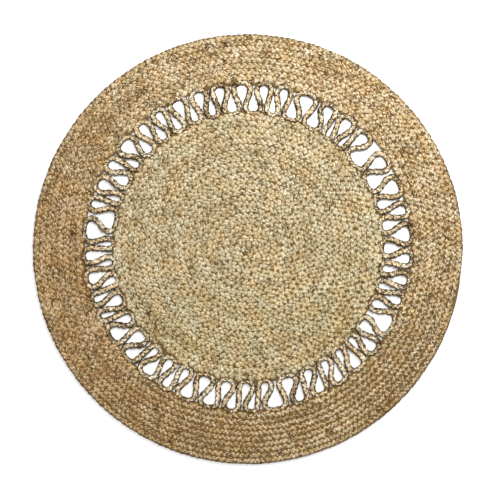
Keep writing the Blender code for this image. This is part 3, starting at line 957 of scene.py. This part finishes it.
def jute(name, look):
    """Combed jute in strands: fibre streaks, stretches of other harvests, tanned parts and bark, with
    painted shade and painted light laid over them.
    """
    colours = bpy.context.scene.jute_colours
    material, nodes, shader = new_material(name)
    fibre = nodes.attribute("fibre", "Vector")
    strand = nodes.attribute("strand", "Fac")
    grain = nodes.attribute("grain", "Fac")
    shade = nodes.attribute("shade", "Fac")
    place = nodes.add("ShaderNodeTexCoord").outputs["Object"]
    along = nodes.add("ShaderNodeSeparateXYZ", {"Vector": fibre}).outputs["X"]
    height = nodes.add("ShaderNodeSeparateXYZ", {"Vector": place}).outputs["Z"]
    apart = nodes.maths("MULTIPLY", strand, STRAND_STEP)
    own = nodes.add("ShaderNodeCombineXYZ", {"X": along, "Y": apart}).outputs[0]
    coordinates = {"own": own, "fibre": fibre, "place": place}
    patterns = {key: pattern(nodes, key, coordinates) for key in PATTERNS if key != "matting"}

    value = nodes.between(grain, 0.0, 1.0, -look.grains, look.grains)
    value = nodes.maths("ADD", look.level, value)
    for key, share in LIGHTENING.items():
        reach = share * look.contrast
        lighter = nodes.between(patterns[key], *MOST_VALUES, -reach, reach)
        value = nodes.maths("ADD", value, lighter)
    # painted shade at the strands' feet and painted light on their tops
    value = nodes.maths("ADD", value, nodes.between(height, *HEIGHTS, -look.depth, TOP_PAINTED_LIGHT))
    # painted shade down the loops' sides and at the band's rim
    value = nodes.maths("ADD", value, nodes.maths("MULTIPLY", shade, -look.shaded))

    # dark fibre and painted shade in the creases share this colour
    dark_and_shade_colour = solid_colour(colours.dark_fibre_and_shade, look.dark_fibre_and_shade)
    lower = nodes.maths("MULTIPLY", nodes.clamped(value), 2.0)
    base = nodes.mix(lower, dark_and_shade_colour, solid_colour(look.colour))
    upper = nodes.clamped(nodes.maths("SUBTRACT", nodes.maths("MULTIPLY", value, 2.0), 1.0))
    base = nodes.mix(upper, base, solid_colour(colours.highlight))

    first, full = TANNED_FROM
    tanned = nodes.between(patterns["tanned"], first - look.tanned, full - look.tanned, 0.0, TANNED_MOST)
    tanned = nodes.maths("MULTIPLY", tanned, nodes.between(patterns["clusters"], *CLUSTERS_FROM))
    base = nodes.mix(tanned, base, solid_colour(colours.red_brown), "MULTIPLY")
    rosy = nodes.between(patterns["rosy"], *ROSY_FROM, 0.0, ROSY_MOST)
    base = nodes.mix(rosy, base, ROSY_TINT, "MULTIPLY")
    greyed = nodes.between(patterns["greyed"], *GREYED_FROM, 0.0, look.greyed)
    base = nodes.mix(greyed, base, GREY_TINT, "MULTIPLY")
    # painted shade, darker and warmer towards one side of the piece
    side = nodes.add("ShaderNodeVectorMath", {0: place, 1: look.shaded_side}, operation="DOT_PRODUCT")
    side_shade = nodes.between(side.outputs["Value"], *look.shaded_side_from)
    base = nodes.mix(side_shade, base, look.side_shade_tint, "MULTIPLY")
    first, full = FLECKS_FROM
    flecks = nodes.between(patterns["flecks"], first - look.bark, full - look.bark, 0.0, FLECKS_MOST)
    base = nodes.mix(flecks, base, solid_colour(colours.bark))

    bump = nodes.add("ShaderNodeBump", {**STREAK_RELIEF, "Height": patterns["streaks"]})
    roughness = nodes.between(patterns["streaks"], *MOST_VALUES, *DULL_AND_SHINY)
    links = nodes.tree.links
    links.new(base, shader.inputs["Base Color"])
    links.new(roughness, shader.inputs["Roughness"])
    links.new(bump.outputs["Normal"], shader.inputs["Normal"])
    shader.inputs["Specular IOR Level"].default_value = JUTE_SHEEN
    return material


def shade_and_matted_fibre():
    """The loose fibre at the bottom of the gaps between the rows, coloured dark as painted shade; one
    material for all pieces.
    """
    known = bpy.data.materials.get("shade_and_matted_fibre")
    if known:
        return known
    material, nodes, shader = new_material("shade_and_matted_fibre")
    place = nodes.add("ShaderNodeTexCoord").outputs["Object"]
    matting = pattern(nodes, "matting", {"place": place})
    colour = nodes.mix(nodes.between(matting, *MOST_VALUES), MATTED_SHADE_DARK, MATTED_SHADE_PALE)
    bump = nodes.add("ShaderNodeBump", {**MATTING_RELIEF, "Height": matting})
    nodes.tree.links.new(colour, shader.inputs["Base Color"])
    nodes.tree.links.new(bump.outputs["Normal"], shader.inputs["Normal"])
    shader.inputs["Roughness"].default_value = MATTING_ROUGHNESS
    return material


def plain_floor():
    colour = bpy.context.scene.stage_settings.floor
    material, nodes, shader = new_material("plain_floor")
    shader.inputs["Base Color"].default_value = solid_colour(colour)
    shader.inputs["Roughness"].default_value = FLOOR_ROUGHNESS
    shader.inputs["Specular IOR Level"].default_value = FLOOR_SHEEN
    return material


# ---------------------------------------------------------------- operators

class LayCentreDisc(bpy.types.Operator):
    """Plait the strands of the coiled centre disc"""
    bl_idname = "jute_rug.lay_centre_disc"
    bl_label = "Lay Centre Disc"

    def execute(self, context):
        colours = context.scene.jute_colours
        material = jute("centre_jute", JuteLook(
            colours.disc, level=0.567, dark_fibre_and_shade=0.9, depth=0.23, grains=0.05, tanned=0.04, greyed=0.4,
            bark=0.055, contrast=0.93, shaded_side_angle=285.0, shaded_side_from=(-0.15, 0.25),
            side_shade_tint=(0.965, 0.955, 0.90, 1.0)))
        route, width = coil_route(OPENWORK_CENTRE, DISC_RADIUS, None, DISC_TURNS, DISC_START,
                                  DISC_TAPERS)
        braid = Braid(route, width, closed=False, seed=1)
        pieces = plaited_pieces(("disc_braid_inner", "disc_braid_outer"), braid, material)
        inner = ring_points(OPENWORK_CENTRE, MIDDLE_HOLE)
        outer = openwork_edge(DISC_RADIUS + LAYER_TUCK, True)
        layer = fibre_layer("disc_layer", (inner, outer), shade_and_matted_fibre())
        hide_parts("centre_disc")
        return {"FINISHED"}


class LayLoops(bpy.types.Operator):
    """Plait the strands of the ring of open loops"""
    bl_idname = "jute_rug.lay_loops"
    bl_label = "Lay Loops"

    def execute(self, context):
        colours = context.scene.jute_colours
        material = jute("loop_jute", JuteLook(
            colours.loops, level=0.85, dark_fibre_and_shade=0.38, depth=0.62, grains=0.28, tanned=0.08, greyed=0.2,
            bark=0.08, contrast=1.9, shaded=1.25))
        route, width = loop_route()
        route = route + OPENWORK_CENTRE
        braid = LoopBraid(route, width, closed=True, seed=2, roll=LOOP_ROLL)
        piece, = plaited_pieces(("loop_strands",), braid, material)
        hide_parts("loop_braid")
        core = shaded_loop_core(route, width, shade_and_matted_fibre())
        return {"FINISHED"}


class LayOuterBand(bpy.types.Operator):
    """Plait the strands of the coiled outer band"""
    bl_idname = "jute_rug.lay_outer_band"
    bl_label = "Lay Outer Band"

    def execute(self, context):
        colours = context.scene.jute_colours
        material = jute("border_jute", JuteLook(
            colours.band, level=0.562, dark_fibre_and_shade=0.8, depth=0.24, grains=0.06, tanned=0.12, greyed=0.3,
            bark=0.085, contrast=1.05, shaded=0.6, shaded_side_angle=198.0, shaded_side_from=(0.05, 0.58),
            side_shade_tint=(0.86, 0.77, 0.67, 1.0)))
        route, width = coil_route(RUG_CENTRE, RUG_RADIUS, BAND_INNER_RADIUS, BAND_TURNS, BAND_START,
                                  BAND_TAPERS)
        braid = BandBraid(route, width, closed=False, seed=3, tight_angle=BAND_TIGHT_ANGLE)
        pieces = plaited_pieces(("band_braid_inner", "band_braid_outer"), braid, material)
        inner = openwork_edge(BAND_INNER_RADIUS - LAYER_TUCK, False)
        outer = ring_points(RUG_CENTRE, RUG_RADIUS - LAYER_INSET)
        layer = fibre_layer("band_layer", (inner, outer), shade_and_matted_fibre())
        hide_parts("outer_band")
        return {"FINISHED"}


# ---------------------------------------------------------------- the stage

FLOOR_SIDE = 60.0
FLOOR_DROP = 0.0003
PICTURE_PIXELS = 500
PIXEL = 0.0027907               # metres of rug in one pixel of the picture
AIM_PIXELS = (2.1, -0.9)        # from the rug's middle to the picture's middle
SENSOR = 36.0                   # millimetres
SUN_FROM = Vector((0.20, 1.0, 1.45))
SUN_SPREAD = math.radians(12.0)
LAMP_PLACE = Vector((0.75, 1.5, 1.2))
LAMP_SIDE = 0.35
SKY_TINT = (1.0, 0.97, 0.93, 1.0)


class SetStage(bpy.types.Operator):
    """Set the floor, the soft light and the camera straight above the rug"""
    bl_idname = "jute_rug.set_stage"
    bl_label = "Set Stage"

    def execute(self, context):
        settings = context.scene.stage_settings
        half = FLOOR_SIDE / 2
        corners = np.array([(-half, -half, -FLOOR_DROP), (half, -half, -FLOOR_DROP),
                            (half, half, -FLOOR_DROP), (-half, half, -FLOOR_DROP)])
        floor = make_mesh("floor", corners, np.array([[0, 1, 2, 3]]), plain_floor())

        sun = bpy.data.lights.new("soft_sun", "SUN")
        sun.energy = settings.sun
        sun.angle = SUN_SPREAD
        lamp = bpy.data.objects.new("soft_sun", sun)
        lamp.rotation_mode = "QUATERNION"
        lamp.rotation_quaternion = SUN_FROM.to_track_quat("Z", "Y")
        context.scene.collection.objects.link(lamp)

        near = bpy.data.lights.new("near_lamp", "AREA")
        near.energy = settings.lamp
        near.size = LAMP_SIDE
        lamp = bpy.data.objects.new("near_lamp", near)
        lamp.location = LAMP_PLACE
        lamp.rotation_mode = "QUATERNION"
        lamp.rotation_quaternion = LAMP_PLACE.to_track_quat("Z", "Y")
        context.scene.collection.objects.link(lamp)

        world = bpy.data.worlds.new("studio")
        world.use_nodes = True
        sky = world.node_tree.nodes["Background"]
        sky.inputs["Color"].default_value = SKY_TINT
        sky.inputs["Strength"].default_value = settings.sky
        context.scene.world = world
        context.scene.view_settings.view_transform = "Standard"

        eye = bpy.data.cameras.new("camera")
        eye.sensor_width = SENSOR
        eye.lens = settings.lens
        camera = bpy.data.objects.new("camera", eye)
        away = PICTURE_PIXELS * PIXEL * settings.lens / SENSOR
        camera.location = (AIM_PIXELS[0] * PIXEL, AIM_PIXELS[1] * PIXEL, BRAID_HEIGHT + away)
        context.scene.collection.objects.link(camera)
        context.scene.camera = camera
        return {"FINISHED"}


class JuteRugPanel(bpy.types.Panel):
    """Steps that lay the rug, in order"""
    bl_idname = "VIEW3D_PT_jute_rug"
    bl_label = "Jute Rug"
    bl_space_type = "VIEW_3D"
    bl_region_type = "UI"
    bl_category = "Jute Rug"

    def draw(self, context):
        for settings in (context.scene.rug_sizes, context.scene.jute_colours,
                         context.scene.stage_settings):
            for name in settings.__annotations__:
                self.layout.prop(settings, name)
        for operator in OPERATORS:
            self.layout.operator(operator.bl_idname)


SETTINGS = (
    ("rug_sizes", RugSizes),
    ("jute_colours", JuteColours),
    ("stage_settings", StageSettings),
)
OPERATORS = (LayCentreDisc, LayLoops, LayOuterBand, SetStage)


def register():
    for name, group in SETTINGS:
        bpy.utils.register_class(group)
        setattr(bpy.types.Scene, name, PointerProperty(type=group))
    for item in (*OPERATORS, JuteRugPanel):
        bpy.utils.register_class(item)


def unregister():
    for item in (JuteRugPanel, *reversed(OPERATORS)):
        bpy.utils.unregister_class(item)
    for name, group in reversed(SETTINGS):
        delattr(bpy.types.Scene, name)
        bpy.utils.unregister_class(group)


def main():
    register()
    bpy.ops.jute_rug.lay_centre_disc()
    bpy.ops.jute_rug.lay_loops()
    bpy.ops.jute_rug.lay_outer_band()
    bpy.ops.jute_rug.set_stage()


if __name__ == "__main__":
    main()
